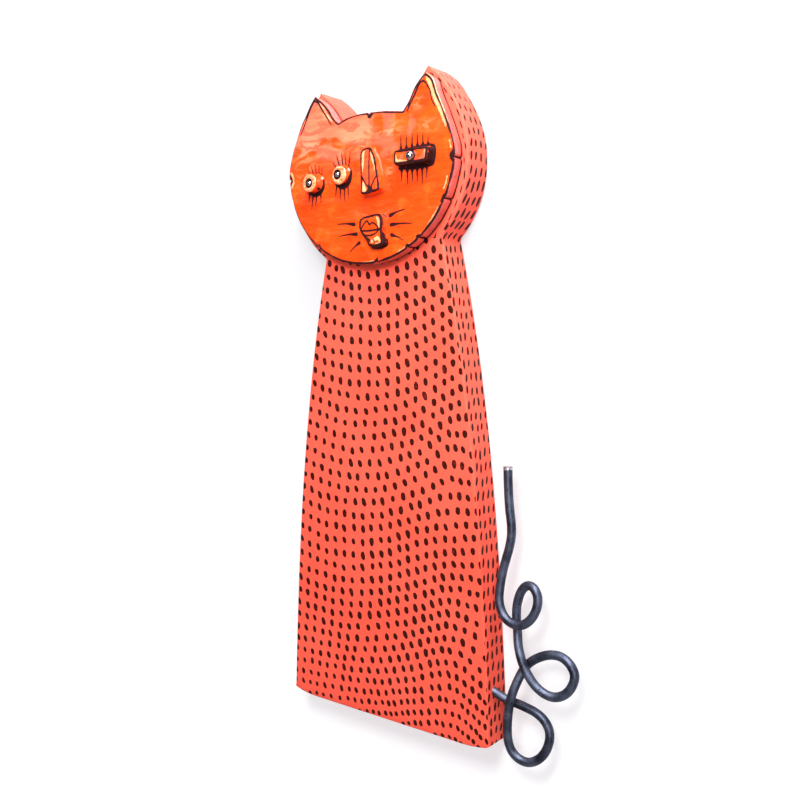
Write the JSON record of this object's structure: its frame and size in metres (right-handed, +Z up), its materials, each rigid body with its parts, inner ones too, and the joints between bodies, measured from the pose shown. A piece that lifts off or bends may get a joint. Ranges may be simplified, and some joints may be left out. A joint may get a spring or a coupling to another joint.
{
  "type": "wall-hung cat sculpture",
  "caption": "Flat painted wooden cat that hangs on a wall, with rows of dots, a glazed ceramic face in relief and a tail of bent steel rod.",
  "frame": {"origin": "the hanging point, on the flat back of the board behind the middle of the head, in the wall's plane", "axes": "+Z up, +X to the viewer's right, +Y into the wall; the cat faces -Y and its back lies in Y = 0"},
  "size_m": [0.2537, 0.0454, 0.4891],
  "materials": {
    "coral_paint": "satin coral paint with hand-painted black dots",
    "orange_glaze": "glossy orange glaze with black underglaze lines",
    "black_glass": "opaque polished black bead",
    "blackened_steel": "blackened steel rod, satin"
  },
  "bodies": {
    "root": {"wooden_body": "coral_paint", "ceramic_face": "orange_glaze", "left_pupil": "black_glass", "middle_pupil": "black_glass", "right_pupil": "black_glass", "steel_tail": "blackened_steel"}
  },
  "joints": []
}
